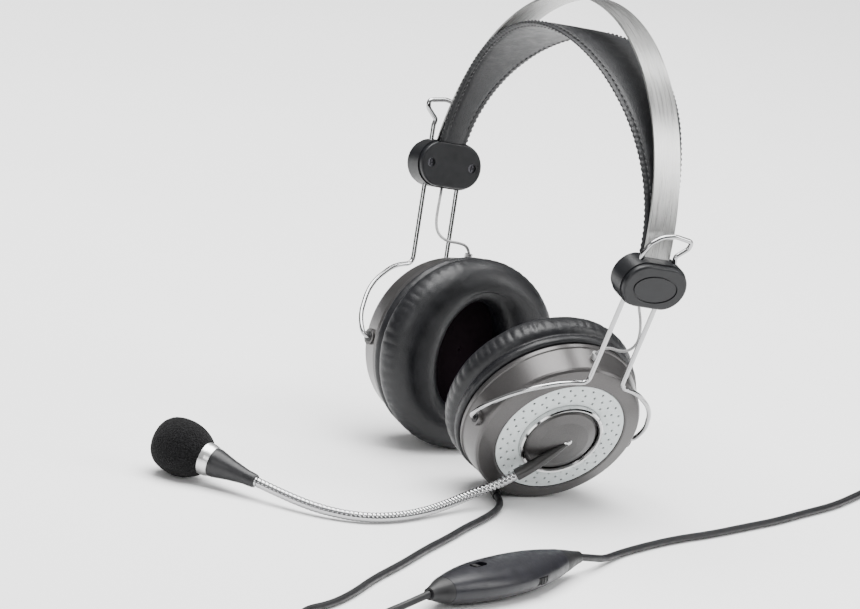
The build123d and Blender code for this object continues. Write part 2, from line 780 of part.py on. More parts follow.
lead_in_points = (
    (41.0, 41.2, 1.85), (49.5, 38.4, 1.55), (59.5, 30.0, 1.55), (69.6, 17.6, 1.55),
    (79.8, 3.4, 1.55), (90.6, -9.6, 1.55), (104.2, -28.0, 1.55), (122.0, -49.4, 1.55),
    (138.6, -71.6, 1.55), (155.6, -90.4, 1.55), (167.0, -106.6, 1.55), (172.2, -121.0, 1.55),
    (183.4, -129.4, 1.55), (194.8, -123.6, 1.55), (196.4, -110.8, 1.55), (188.6, -99.8, 1.55),
    (180.6, -90.4, 1.8), (177.2, -79.4, 3.9), tuple(port_in),
)
with BuildPart() as cord_in:
    cord("cord_in", lead_in_points, cord_radius)
cord_in.part.label = "cord_in"
export_step(cord_in.part, "parts/cord_in.step")

coil_centre = Vector(45.0, 257.0, 0)
coil_inner = 12.6
coil_outer = 23.2
coil_height = 9.6
lead_out_points = (
    tuple(port_out), (131.4, 33.0, 5.6), (124.2, 43.6, 2.4), (114.6, 57.4, 1.55), (106.4, 75.0, 1.55),
    (99.0, 93.6, 1.55), (93.8, 113.6, 1.55), (86.6, 133.0, 1.55), (79.6, 153.4, 1.55),
    (70.4, 173.0, 1.55), (61.8, 193.0, 1.55), (50.4, 211.0, 1.55), (38.6, 228.0, 1.8),
    (30.0, 240.8, 3.2), (27.2, 254.0, 4.8),
)
with BuildPart() as cord_out:
    cord("cord_out", lead_out_points, cord_radius)
cord_out.part.label = "cord_out"
export_step(cord_out.part, "parts/cord_out.step")

with BuildPart() as cord_coil:
    turned(Plane(origin=coil_centre), (
        (coil_inner, 2.0), (coil_inner + 2.0, 0.0), (coil_outer - 2.0, 0.0), (coil_outer, 2.0),
        (coil_outer, coil_height - 2.0), (coil_outer - 2.0, coil_height),
        (coil_inner + 2.0, coil_height), (coil_inner, coil_height - 2.0),
    ))
cord_coil.part.label = "cord_coil"
export_step(cord_coil.part, "parts/cord_coil.step")

splitter_in = (78.0, 267.4, 3.4)
tail_points = ((45.6, 275.0, 4.8), (56.8, 274.6, 4.4), (67.6, 271.6, 3.6), splitter_in)
with BuildPart() as cord_tail:
    cord("cord_tail", tail_points, cord_radius)
cord_tail.part.label = "cord_tail"
export_step(cord_tail.part, "parts/cord_tail.step")

splitter_plane = Plane(
    origin=splitter_in,
    x_dir=(0.4, 1.0, 0),
    z_dir=(1.0, -0.4, 0),
)
splitter_length = 16.0
with BuildPart() as splitter:
    for height, width, depth in (
        (0, 4.6, 4.6), (4.0, 7.6, 5.8), (12.0, 8.6, 5.8), (splitter_length, 7.4, 4.6),
    ):
        with BuildSketch(lifted(splitter_plane, 0, 0, height)):
            RectangleRounded(width, depth, 2.0)
    loft()
splitter.part.label = "splitter"
export_step(splitter.part, "parts/splitter.step")

split_radius = 1.1
lead_spacing = 3.2
grip_length = 26.0
plug_radius = 1.75
plug_pins = Part()
plug_grips = Part()
for name, offset, route in (
    ("mic", lead_spacing / 2, (
        (103.0, 259.4, 2.4), (112.6, 260.0, 3.6), (121.8, 263.6, 4.3), (130.0, 267.6, 4.3),
    )),
    ("phones", -lead_spacing / 2, (
        (101.0, 253.2, 2.4), (110.4, 248.2, 3.6), (120.0, 245.0, 4.3), (129.6, 244.0, 4.3),
    )),
):
    mouth = splitter_plane.from_local_coords(Vector(offset, 0, splitter_length))
    lead_points = (tuple(mouth), *route)
    with BuildPart() as lead:
        cord(f"lead_{name}", lead_points, split_radius)
    lead.part.label = f"lead_{name}"
    export_step(lead.part, f"parts/lead_{name}.step")
    run = Vector(*lead_points[-1]) - Vector(*lead_points[-2])
    plug = Plane(origin=lead_points[-1], z_dir=(run.X, run.Y, 0))
    with BuildPart() as grip:
        turned(plug, (
            (0, 0), (1.7, 0), (2.2, 7.0), (3.6, 8.0), (4.2, 10.0), (4.2, grip_length - 1.0),
            (3.6, grip_length), (0, grip_length),
        ))
    plug_grips += grip.part
    with BuildPart() as pin:
        turned(plug, (
            (0, grip_length), (2.4, grip_length), (2.4, grip_length + 0.6), (plug_radius, grip_length + 0.6),
            (plug_radius, grip_length + 12.2), (1.3, grip_length + 12.8), (1.7, grip_length + 13.6),
            (0.6, grip_length + 15.0), (0, grip_length + 15.0),
        ))
    plug_pins += pin.part
plug_grips.label = "plug_grips"
export_step(plug_grips, "parts/plug_grips.step")
plug_pins.label = "plug_pins"
export_step(plug_pins, "parts/plug_pins.step")

# ---------------------------------------------------------------- thin leads that bridge the yokes
bridge_leads = Part()
# each route runs in its cup's frame, from the block's underside down to the port
bridge_routes = {
    "left": ((3.0, 68.6, 3.3), (7.6, 62.4, 2.4), (12.0, 55.0, 1.3), (14.6, 48.6, 0.4),
             (13.6, 43.6, -0.4), (9.8, 42.2, -0.9), (5.2, 43.0, -1.2), (1.2, 42.2, -1.0)),
    "right": ((3.4, 56.6, 26.0), (7.8, 51.6, 18.6), (11.8, 47.4, 11.0), (13.6, 44.4, 4.6),
              (11.4, 42.8, 0.2), (6.4, 43.2, -1.4), (1.4, 42.2, -1.2)),
}
for side, sign, leg, tilt in sides:
    block = block_frame(sign)
    cup = cup_frame(sign, leg, tilt)
    start = block.from_local_coords(Vector(0, -block_height / 2 - 0.1, -1.0))
    port_mouth = cup.from_local_coords(Vector(0, 39.25, -1.0))
    points = [tuple(start)]
    points += [tuple(cup.from_local_coords(Vector(*p))) for p in bridge_routes[side]]
    points += [tuple(port_mouth)]
    with BuildPart() as bridge:
        cord(f"bridge_lead_{side}", points, bridge_radius)
    bridge_leads += bridge.part

bridge_leads.label = "bridge_leads"
export_step(bridge_leads, "parts/bridge_leads.step")
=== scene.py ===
"""Looks of the office headset: soft goods, cords, surface materials, light and camera round the CAD frame.

Metres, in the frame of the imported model. Each ear cup has a frame of its own (x to the rear on the left
side and to the front on the right side, y up, z outward), which the places of the soft parts are given in.
"""
import math
import random

import bpy
import numpy as np
from mathutils import Matrix, Vector, noise

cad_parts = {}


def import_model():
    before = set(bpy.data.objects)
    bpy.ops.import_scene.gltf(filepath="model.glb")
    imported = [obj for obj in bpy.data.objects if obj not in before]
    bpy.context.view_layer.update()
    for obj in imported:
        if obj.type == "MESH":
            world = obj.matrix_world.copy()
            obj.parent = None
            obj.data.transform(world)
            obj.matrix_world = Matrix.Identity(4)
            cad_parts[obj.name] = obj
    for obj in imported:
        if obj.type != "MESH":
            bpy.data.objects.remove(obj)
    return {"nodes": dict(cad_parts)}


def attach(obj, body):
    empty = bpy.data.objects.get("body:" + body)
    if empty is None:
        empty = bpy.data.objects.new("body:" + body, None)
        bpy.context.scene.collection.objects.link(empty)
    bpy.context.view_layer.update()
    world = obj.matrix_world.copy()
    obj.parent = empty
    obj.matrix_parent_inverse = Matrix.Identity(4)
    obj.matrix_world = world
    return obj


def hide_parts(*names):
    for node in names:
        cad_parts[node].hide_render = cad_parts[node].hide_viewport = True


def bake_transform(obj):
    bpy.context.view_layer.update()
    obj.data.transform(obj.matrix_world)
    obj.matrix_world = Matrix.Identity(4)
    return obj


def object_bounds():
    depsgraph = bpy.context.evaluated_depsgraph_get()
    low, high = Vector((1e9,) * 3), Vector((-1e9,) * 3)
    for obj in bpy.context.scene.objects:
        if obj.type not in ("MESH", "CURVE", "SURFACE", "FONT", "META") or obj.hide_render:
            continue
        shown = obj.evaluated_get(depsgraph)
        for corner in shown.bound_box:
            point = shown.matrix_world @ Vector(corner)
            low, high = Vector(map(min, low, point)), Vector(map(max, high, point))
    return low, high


MM = 0.001
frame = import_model()
nodes = frame["nodes"]
cad_lo, cad_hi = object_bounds()

# ---------------------------------------------------------------- driving dimensions
LEAN = math.radians(8.0)            # the headset leans back onto the table
STAND = Vector((0, 44.6, -69.76)) * MM
YOKE_LEAN = 12.46                   # degrees
BLOCK = (85.4, 179.1)               # slider block in the upright head frame
BAIL = (33.1, 21.9)                 # bends to pivot line, down and inward
CUP_RAISE = 2.1
SIDES = (("left", 1, 49.2, 13.06), ("right", -1, 43.4, -9.8))
OPENING = (15.1, 22.7)              # half axes of the hole in each cushion
CORD_R = 1.5 * MM
LEAD_R = 1.1 * MM
BRIDGE_R = 0.6 * MM


# ---------------------------------------------------------------- frames
def along(x, y, z):
    """A direction of the upright head frame, as the headset stands."""
    c, s = math.cos(LEAN), math.sin(LEAN)
    return Vector((x, y * c + z * s, -y * s + z * c))


def at(x, y, z):
    """A point of the upright head frame in millimetres, as it stands, in metres."""
    return along(x, y, z) * MM + STAND


def axes(origin, x_axis, z_axis):
    y_axis = z_axis.cross(x_axis)
    m = Matrix((x_axis, y_axis, z_axis)).transposed().to_4x4()
    m.translation = origin
    return m


def side_frame(origin, sign, tilt):
    a = math.radians(tilt)
    return axes(origin, along(0, sign, 0), along(sign * math.cos(a), 0, -math.sin(a)))


def cup_frame(sign, leg, tilt):
    block = side_frame(at(sign * BLOCK[0], 0, BLOCK[1]), sign, YOKE_LEAN)
    pivot = block @ (Vector((0, -leg - BAIL[0], -BAIL[1])) * MM)
    cup = side_frame(pivot, sign, YOKE_LEAN + tilt)
    cup.translation = cup @ Vector((0, CUP_RAISE * MM, 0))
    return cup


# ---------------------------------------------------------------- camera
def make_camera():
    right = Vector((0.48485, 0.86274, 0.14349))
    up = Vector((-0.29155, 0.00476, 0.95654))
    back = right.cross(up)
    data = bpy.data.cameras.new("camera")
    data.lens = 332.07
    data.sensor_width = 36.0
    data.clip_start = 0.1
    data.clip_end = 50.0
    camera = bpy.data.objects.new("camera", data)
    m = Matrix((right, up, back)).transposed().to_4x4()
    m.translation = Vector((2.69697, -1.63317, 0.90222))
    camera.matrix_world = m
    bpy.context.scene.collection.objects.link(camera)
    bpy.context.scene.camera = camera


make_camera()


# ---------------------------------------------------------------- material helpers
def material(name, color, rough=0.5, metal=0.0, **sockets):
    """A material with its plain values on the shader's own sockets, and a helper for its nodes."""
    mat = bpy.data.materials.new(name)
    mat.use_nodes = True
    shader = mat.node_tree.nodes["Principled BSDF"]
    shader.inputs["Base Color"].default_value = (*color, 1)
    shader.inputs["Roughness"].default_value = rough
    shader.inputs["Metallic"].default_value = metal
    for key, value in sockets.items():
        shader.inputs[key.replace("_", " ")].default_value = value
    return mat, Nodes(mat.node_tree, shader)


class Nodes:
    """Short calls for the few node kinds that the materials share."""

    def __init__(self, tree, shader):
        self.tree = tree
        self.shader = shader
        self.coords = tree.nodes.new("ShaderNodeTexCoord").outputs["Object"]

    def link(self, out, socket):
        self.tree.links.new(out, socket)

    def mapped(self, scale=(1, 1, 1), turn=None):
        """Object coordinates, first turned into the axes of `turn`, then scaled."""
        out = self.coords
        if turn is not None:
            place = self.tree.nodes.new("ShaderNodeMapping")
            inverse = turn.inverted()
            place.inputs["Location"].default_value = inverse.translation
            place.inputs["Rotation"].default_value = inverse.to_euler()
            self.link(out, place.inputs["Vector"])
            out = place.outputs[0]
        stretch = self.tree.nodes.new("ShaderNodeMapping")
        stretch.inputs["Scale"].default_value = scale
        self.link(out, stretch.inputs["Vector"])
        return stretch.outputs[0]

    def noise(self, scale, detail=3.0, vector=None, rough=0.5):
        n = self.tree.nodes.new("ShaderNodeTexNoise")
        n.inputs["Scale"].default_value = scale
        n.inputs["Detail"].default_value = detail
        n.inputs["Roughness"].default_value = rough
        self.link(vector or self.coords, n.inputs["Vector"])
        return n.outputs["Fac"]

    def cells(self, scale, vector=None, feature="F1", output="Distance"):
        n = self.tree.nodes.new("ShaderNodeTexVoronoi")
        n.feature = feature
        n.inputs["Scale"].default_value = scale
        self.link(vector or self.coords, n.inputs["Vector"])
        return n.outputs[output]

    def waves(self, scale, vector, direction="X", distortion=0.0):
        n = self.tree.nodes.new("ShaderNodeTexWave")
        n.bands_direction = direction
        n.inputs["Scale"].default_value = scale
        n.inputs["Distortion"].default_value = distortion
        self.link(vector, n.inputs["Vector"])
        return n.outputs["Fac"]

    def math(self, operation, a, b):
        n = self.tree.nodes.new("ShaderNodeMath")
        n.operation = operation
        for socket, value in zip(n.inputs, (a, b)):
            if isinstance(value, (int, float)):
                socket.default_value = value
            else:
                self.link(value, socket)
        return n.outputs[0]

    def ramp(self, fac, stops):
        n = self.tree.nodes.new("ShaderNodeValToRGB")
        while len(n.color_ramp.elements) < len(stops):
            n.color_ramp.elements.new(0.5)
        for element, (position, value) in zip(n.color_ramp.elements, stops):
            element.position = position
            rgb = (value,) * 3 if isinstance(value, (int, float)) else value
            element.color = (*rgb, 1)
        self.link(fac, n.inputs["Fac"])
        return n.outputs["Color"]

    def color(self, fac, low, high):
        self.link(self.ramp(fac, ((0.3, low), (0.7, high))), self.shader.inputs["Base Color"])

    def rough(self, fac, low, high):
        self.link(self.ramp(fac, ((0.3, low), (0.7, high))), self.shader.inputs["Roughness"])

    def bump(self, height, distance, strength=1.0, before=None):
        n = self.tree.nodes.new("ShaderNodeBump")
        n.inputs["Strength"].default_value = strength
        n.inputs["Distance"].default_value = distance
        self.link(height, n.inputs["Height"])
        if before is not None:
            self.link(before, n.inputs["Normal"])
        self.link(n.outputs["Normal"], self.shader.inputs["Normal"])
        return n.outputs["Normal"]


# ---------------------------------------------------------------- materials
HEAD = axes(STAND, along(1, 0, 0), along(0, 0, 1))


def brushed_steel():
    """Fine brush lines that run round the arch."""
    mat, n = material("band_brushed_steel", (0.7, 0.7, 0.69), 0.32, 1.0)
    head = n.mapped((60, 5200, 60), HEAD)
    lines = n.noise(1.0, 4.0, head, 0.6)
    n.color(lines, (0.3, 0.3, 0.295), (0.56, 0.56, 0.55))
    n.rough(lines, 0.22, 0.4)
    n.bump(lines, 0.00004, 0.6)
    return mat


def polished(name, color, rough):
    """Bright plating with faint smears in its gloss."""
    mat, n = material(name, color, rough, 1.0)
    smear = n.noise(240.0, 3.0)
    n.rough(smear, rough, rough + 0.07)
    n.bump(n.noise(900.0, 2.0), 0.00002, 0.3)
    return mat


def satin_paint(name, low, high):
    """Metallic grey paint: tiny flakes under a soft clear layer."""
    mat, n = material(name, low, 0.34, 0.72, Coat_Weight=0.25, Coat_Roughness=0.22)
    flakes = n.cells(9000.0, output="Color")
    n.color(n.noise(5200.0, 2.0), low, high)
    n.rough(n.noise(90.0, 3.0), 0.3, 0.4)
    n.bump(flakes, 0.00001, 0.25)
    return mat


def moulded(name, color, rough=0.42, texture=2600.0, depth=0.00003, lift=1.5):
    """Spark-eroded plastic: a fine even grain with slightly uneven gloss."""
    mat, n = material(name, color, rough, Specular_IOR_Level=0.3)
    n.color(n.noise(160.0, 4.0), color, tuple(c * lift for c in color))
    n.rough(n.noise(420.0, 3.0), rough - 0.05, rough + 0.08)
    n.bump(n.noise(texture, 2.0), depth, 0.6)
    return mat


def leather(name, color, rough, pore, depth):
    """Artificial leather: rounded cells parted by fine creases, a little worn gloss."""
    mat, n = material(name, color, rough, Specular_IOR_Level=0.36, Coat_Weight=0.05, Coat_Roughness=0.2)
    cells = n.cells(pore, feature="DISTANCE_TO_EDGE")
    creases = n.ramp(cells, ((0.0, 0.0), (0.18, 1.0)))
    n.color(n.noise(130.0, 4.0), color, tuple(c * 1.7 for c in color))
    n.rough(n.noise(260.0, 4.0), rough - 0.06, rough + 0.08)
    first = n.bump(n.noise(70.0, 3.0), 0.0003, 0.35)
    n.bump(creases, depth, 0.55, first)
    return mat


def cloth():
    """Very dark plain weave, with a hint of plum where the light catches it."""
    mat, n = material(
        "inner_cloth_weave", (0.005, 0.002, 0.004), 0.9,
        Sheen_Weight=0.1, Sheen_Roughness=0.5, Specular_IOR_Level=0.1,
    )
    n.shader.inputs["Sheen Tint"].default_value = (0.35, 0.2, 0.32, 1)
    turn = cup_frame(*SIDES[1][1:])
    across = n.waves(700.0, n.mapped((1, 1, 1), turn), "X", 0.4)
    upward = n.waves(700.0, n.mapped((1, 1, 1), turn), "Y", 0.4)
    weave = n.math("MULTIPLY", across, upward)
    n.color(weave, (0.0015, 0.0006, 0.0012), (0.009, 0.0035, 0.0065))
    n.bump(weave, 0.0002, 0.8)
    return mat


def foam_black():
    """Open-cell foam: sharp little pits of two sizes, with painted shade darkening the larger ones."""
    mat, n = material(
        "foam_open_cell", (0.003, 0.003, 0.003), 0.95,
        Sheen_Weight=0.04, Sheen_Roughness=0.6, Specular_IOR_Level=0.08,
    )
    pits = n.cells(1500.0)
    # the pit bottoms are painted darker than the cell walls: painted shade in the pits
    n.color(pits, (0.0008, 0.0008, 0.0009), (0.008, 0.008, 0.0085))
    first = n.bump(n.cells(2600.0), 0.0002, 0.7)
    n.bump(pits, 0.0005, 0.9, first)
    return mat


def rubber(name, color, rough=0.5):
    """Cord jacket with a faint matt bloom."""
    mat, n = material(name, color, rough, Specular_IOR_Level=0.3)
    n.color(n.noise(90.0, 4.0), color, tuple(c * 1.6 for c in color))
    n.rough(n.noise(300.0, 3.0), rough - 0.08, rough + 0.08)
    n.bump(n.noise(1800.0, 3.0), 0.00003, 0.5)
    return mat


def board_green():
    mat, n = material("board_laminate", (0.02, 0.14, 0.05), 0.35)
    n.color(n.noise(300.0, 2.0), (0.015, 0.1, 0.035), (0.03, 0.18, 0.07))
    return mat


def thread():
    mat, n = material("stitch_thread", (0.03, 0.03, 0.032), 0.75, Sheen_Weight=0.3)
    twist = n.noise(5000.0, 2.0)
    n.color(twist, (0.005, 0.005, 0.0055), (0.025, 0.025, 0.026))
    n.bump(twist, 0.0001, 0.6)
    return mat


M = {
    "steel": brushed_steel(),
    # the wires and gooseneck hose get a darker chrome than the bezel: painted shade, standing in for the dark
    # reflections along them
    "chrome": polished("wire_chrome", (0.4, 0.4, 0.405), 0.07),
    "bezel": polished("bezel_chrome", (0.62, 0.62, 0.62), 0.05),
    "nickel": polished("plug_nickel", (0.82, 0.79, 0.74), 0.12),
    "housing": satin_paint("housing_gunmetal", (0.058, 0.055, 0.055), (0.088, 0.084, 0.083)),
    "hub": satin_paint("hub_gunmetal", (0.052, 0.05, 0.05), (0.08, 0.077, 0.076)),
    "ring": moulded("ring_silver_lacquer", (0.56, 0.6, 0.6), 0.36, 1800.0, 0.00002, 1.08),
    "collar": polished("collar_satin", (0.62, 0.62, 0.62), 0.28),
    "screw": polished("screw_black_steel", (0.1, 0.1, 0.11), 0.3),
    "driver": polished("driver_plate", (0.5, 0.5, 0.5), 0.3),
    "block": moulded("block_black", (0.0055, 0.0058, 0.0068), 0.34),
    "trim": moulded("trim_black", (0.006, 0.006, 0.0065), 0.42),
    "arm": satin_paint("arm_gunmetal", (0.026, 0.025, 0.025), (0.042, 0.041, 0.04)),
    "cone": moulded("cone_dark_grey", (0.011, 0.011, 0.012), 0.36),
    "shell": moulded("controller_black", (0.0055, 0.0055, 0.008), 0.33),
    "wheel": moulded("wheel_black", (0.004, 0.004, 0.0045), 0.5),
    "grip": rubber("grip_black", (0.005, 0.005, 0.0055), 0.45),
    "cord": rubber("cord_black", (0.005, 0.005, 0.0058), 0.46),
    "lead": rubber("lead_grey", (0.2, 0.2, 0.2), 0.3),
    "cushion": leather("cushion_leather", (0.003, 0.0032, 0.0042), 0.4, 1300.0, 0.00005),
    "strap": leather("strap_leather", (0.004, 0.0043, 0.0052), 0.46, 1000.0, 0.0001),
    "cloth": cloth(),
    "foam": foam_black(),
    "board": board_green(),
    "thread": thread(),
}

CAD_LOOKS = {
    "steel": ("outer_band",),
    "chrome": ("yoke_wire_left", "yoke_wire_right"),
    "bezel": ("centre_bezel_left", "centre_bezel_right"),
    "nickel": ("plug_pins",),
    "housing": ("cup_housing_left", "cup_housing_right"),
    "hub": ("boom_hub", "centre_cap_right"),
    "ring": ("grille_ring_left", "grille_ring_right"),
    "collar": ("mic_collar", "mic_capsule", "lead_port_left", "lead_port_right"),
    "screw": ("block_screws", "cup_screws_left", "cup_screws_right", "boom_clip", "cap_clip"),
    "driver": ("driver_basket_left", "driver_basket_right", "driver_magnet_left", "driver_magnet_right"),
    "block": ("block_outer_left", "block_outer_right", "block_inner_left", "block_inner_right"),
    "trim": (
        "slider_pads", "pivot_bushes_left", "pivot_bushes_right",
        "baffle_plate_left", "baffle_plate_right", "cord_gland",
    ),
    "arm": ("boom_arm",),
    "cone": ("mic_cone",),
    "shell": ("controller_top", "controller_bottom"),
    "wheel": ("volume_wheel", "mic_switch", "wheel_axle"),
    "grip": ("plug_grips", "cord_reliefs", "splitter"),
    "board": ("control_board",),
}
for look, names in CAD_LOOKS.items():
    for node_name in names:
        mesh = nodes[node_name].data
        mesh.materials.clear()
        mesh.materials.append(M[look])


# ---------------------------------------------------------------- mesh helpers
def link_mesh(name, vertices, faces, mat, smooth=True):
    mesh = bpy.data.meshes.new(name)
    mesh.from_pydata([tuple(v) for v in vertices], [], faces)
    mesh.update()
    if smooth:
        mesh.shade_smooth()
    mesh.materials.append(mat)
    obj = bpy.data.objects.new(name, mesh)
    bpy.context.scene.collection.objects.link(obj)
    return obj


def grid_faces(rows, columns, closed_rows, closed_columns):
    """Quads of a grid of rows * columns points, which may close on itself either way."""
    faces = []
    for i in range(rows if closed_rows else rows - 1):
        for j in range(columns if closed_columns else columns - 1):
            a, b = i * columns + j, i * columns + (j + 1) % columns
            c, d = (i + 1) % rows * columns + (j + 1) % columns, (i + 1) % rows * columns + j
            faces.append((a, b, c, d))
    return faces


def subdivide(obj, levels):
    modifier = obj.modifiers.new("smooth", "SUBSURF")
    modifier.levels = modifier.render_levels = levels


def nurbs(name, points, radius, mat, resolution=8):
    """A round cord along one smooth spline that the route's points steer."""
    curve = bpy.data.curves.new(name, "CURVE")
    curve.dimensions = "3D"
    curve.bevel_depth = radius
    curve.bevel_resolution = 5
    curve.use_fill_caps = True
    curve.resolution_u = resolution
    spline = curve.splines.new("NURBS")
    spline.points.add(len(points) - 1)
    for target, p in zip(spline.points, points):
        target.co = (*p, 1)
    spline.order_u = 3
    spline.use_endpoint_u = True
    curve.materials.append(mat)
    obj = bpy.data.objects.new(name, curve)
    bpy.context.scene.collection.objects.link(obj)
    return obj


def spline_line(name, points, resolution=24):
    """The points that Blender's own spline gives for a route, with no bevel."""
    obj = nurbs(name, points, 0.0, M["trim"], resolution=resolution)
    mesh = bpy.data.meshes.new_from_object(obj)
    line = np.array([v.co for v in mesh.vertices], float)
    bpy.data.meshes.remove(mesh)
    bpy.data.objects.remove(obj)
    return line


def metres(points):
    return [Vector(p) * MM for p in points]


# ---------------------------------------------------------------- cords
CORD_IN = metres((
    (41.0, 41.2, 1.85), (49.5, 38.4, 1.55), (59.5, 30.0, 1.55), (69.6, 17.6, 1.55),
    (79.8, 3.4, 1.55), (90.6, -9.6, 1.55), (104.2, -28.0, 1.55), (122.0, -49.4, 1.55),
    (138.6, -71.6, 1.55), (155.6, -90.4, 1.55), (167.0, -106.6, 1.55), (172.2, -121.0, 1.55),
    (183.4, -129.4, 1.55), (194.8, -123.6, 1.55), (196.4, -110.8, 1.55), (188.6, -99.8, 1.55),
    (180.6, -90.4, 1.8), (177.2, -79.4, 3.9), (174.825, -67.427, 7.45),
))
CORD_OUT = metres((
    (135.375, 24.027, 7.45), (131.4, 33.0, 5.6), (124.2, 43.6, 2.4), (114.6, 57.4, 1.55), (106.4, 75.0, 1.55),
    (99.0, 93.6, 1.55), (93.8, 113.6, 1.55), (86.6, 133.0, 1.55), (79.6, 153.4, 1.55),
    (70.4, 173.0, 1.55), (61.8, 193.0, 1.55), (50.4, 211.0, 1.55), (38.6, 228.0, 1.55),
    (28.4, 241.0, 1.55),
))
CORD_TAIL = metres(((62.6, 277.4, 6.6), (69.8, 272.4, 3.7), (78.0, 267.4, 3.4)))
COIL_CENTRE = Vector((45.0, 257.0, 0)) * MM
ON_TABLE = 1.55                     # height of the cord's middle where it lies, in millimetres
LAYER_RISE = 3.13


def coil_points():
    """Turns wound flat from the outside in, out again on top, in once more, and off over the top."""
    step = 16                                   # points for each turn
    inner, outer = 13.9, 21.7                   # radii of the innermost and outermost turns
    lays = (41, 41, 40)                         # points in each flat layer: turns about 3.05 apart
    climb = 3
    points = []
    angle = math.pi

    def put(radius, height):
        nonlocal angle
        bulge = radius / 0.981 * MM             # the spline cuts inside its points by this share
        spot = Vector((math.cos(angle), math.sin(angle), 0)) * bulge
        points.append(COIL_CENTRE + spot + Vector((0, 0, height * MM)))
        angle -= 2 * math.pi / step

    for layer, (start, end) in enumerate(((outer, inner), (inner, outer), (outer, inner))):
        height = ON_TABLE + LAYER_RISE * layer
        lay = lays[layer]
        for i in range(lay):
            put(start + (end - start) * i / lay, height)
        if layer < 2:
            for i in range(climb):
                put(end, height + LAYER_RISE * (i + 0.5) / climb)
    for radius, height in ((14.35, 8.0), (14.6, 9.2), (16.6, 10.8), (19.6, 11.2), (23.2, 10.6), (26.4, 8.6)):
        put(radius, height)
    return points


def split_leads():
    """The two thin leads from the splitter to their plugs."""
    origin = Vector((78.0, 267.4, 3.4))
    z = Vector((1.0, -0.4, 0)).normalized()
    x = Vector((0.4, 1.0, 0)).normalized()
    runs = {
        "mic": (1.6, (
            (103.0, 259.4, 2.4), (112.6, 260.0, 3.6), (121.8, 263.6, 4.3), (130.0, 267.6, 4.3),
        )),
        "phones": (-1.6, (
            (101.0, 253.2, 2.4), (110.4, 248.2, 3.6), (120.0, 245.0, 4.3), (129.6, 244.0, 4.3),
        )),
    }
    return {k: metres([origin + z * 15.0 + x * off, *map(Vector, pts)]) for k, (off, pts) in runs.items()}


cord_in = nurbs("free_cord_in", CORD_IN, CORD_R, M["cord"])
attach(cord_in, "left_cup")
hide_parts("cord_in")

out_points = CORD_OUT + coil_points() + CORD_TAIL
cord_out = nurbs("free_cord_out", out_points, CORD_R, M["cord"])
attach(cord_out, "left_cup")
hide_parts("cord_out", "cord_coil", "cord_tail")

for lead_name, lead_points in split_leads().items():
    lead = nurbs(f"free_lead_{lead_name}", lead_points, LEAD_R, M["cord"])
    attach(lead, "left_cup")
    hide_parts(f"lead_{lead_name}")

# ---------------------------------------------------------------- bridge leads, from block to cup
BRIDGES = {
    "left": (
        (82.24, 68.18, 98.04), (79.7, 70.65, 94.05), (76.21, 74.48, 88.26), (72.03, 77.98, 81.5),
        (68.46, 79.8, 75.8), (65.59, 78.23, 71.81), (64.53, 74.32, 71.31), (64.61, 69.89, 72.79),
        (64.44, 65.81, 72.55), (63.17, 64.25, 70.08),
    ),
    "right": (
        (-82.24, 68.18, 98.04), (-76.21, 64.41, 95.65), (-68.58, 59.41, 91.66), (-60.8, 54.91, 88.41),
        (-54.26, 52.75, 85.98), (-49.79, 54.74, 84.3), (-48.21, 59.76, 84.07), (-48.37, 64.57, 82.38),
        (-48.43, 65.54, 79.25),
    ),
}


def sweep_tube(name, line, radius_at, mat, around=14):
    """A mesh tube along a line. radius_at takes the distance along it and the angle round it."""
    line = np.asarray(line, float)
    tangents = np.gradient(line, axis=0)
    tangents /= np.linalg.norm(tangents, axis=1)[:, None]
    steps = np.linalg.norm(np.diff(line, axis=0), axis=1)
    run = np.concatenate(([0.0], np.cumsum(steps)))
    normal = Vector(tangents[0]).orthogonal().normalized()
    vertices = []
    for p, t, s in zip(line, tangents, run):
        t = Vector(t)
        normal = (normal - t * normal.dot(t)).normalized()
        side = t.cross(normal)
        for k in range(around):
            a = 2 * math.pi * k / around
            radius = radius_at(s, a)
            vertices.append(Vector(p) + (normal * math.cos(a) + side * math.sin(a)) * radius)
    faces = grid_faces(len(line), around, False, True)
    faces.append(tuple(range(around))[::-1])
    last = (len(line) - 1) * around
    faces.append(tuple(range(last, last + around)))
    return link_mesh(name, vertices, faces, mat)


for side, route in BRIDGES.items():
    line = spline_line(f"route_{side}", metres(route), 10)
    middle = len(line) // 2
    upper = sweep_tube(f"bridge_upper_{side}", line[:middle + 1], lambda s, a: BRIDGE_R, M["lead"], 10)
    lower = sweep_tube(f"bridge_lower_{side}", line[middle:], lambda s, a: BRIDGE_R, M["lead"], 10)
    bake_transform(upper)
    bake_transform(lower)
    if side == "left":
        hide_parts("bridge_leads")


# ---------------------------------------------------------------- gooseneck
GOOSENECK = metres((
    (52.86, 41.27, 14.93), (50.2, 35.0, 10.2), (50.2, 23.4, 6.2), (55.0, 10.0, 3.7), (61.2, -4.6, 2.5),
    (66.2, -20.6, 2.25), (66.4, -36.0, 2.3), (58.6, -49.6, 2.9), (46.2, -59.9, 4.6), (32.0, -68.6, 7.2),
))


def gooseneck():
    """A steel hose wound from round wire: a helix of close ridges along the tube."""
    pitch = 1.9 * MM
    per_turn = 14
    line = spline_line("gooseneck_route", GOOSENECK, 40)
    steps = np.linalg.norm(np.diff(line, axis=0), axis=1)
    run = np.concatenate(([0.0], np.cumsum(steps)))
    even = np.linspace(0, run[-1], int(run[-1] / pitch * per_turn))
    even_line = np.stack([np.interp(even, run, line[:, k]) for k in range(3)], 1)

    def radius_at(s, a):
        ridge = abs(math.sin(math.pi * s / pitch - a / 2))
        return (1.78 + 0.3 * ridge ** 0.7) * MM

    obj = sweep_tube("gooseneck_hose", even_line, radius_at, M["chrome"], 24)
    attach(obj, "boom")
    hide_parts("gooseneck")


gooseneck()
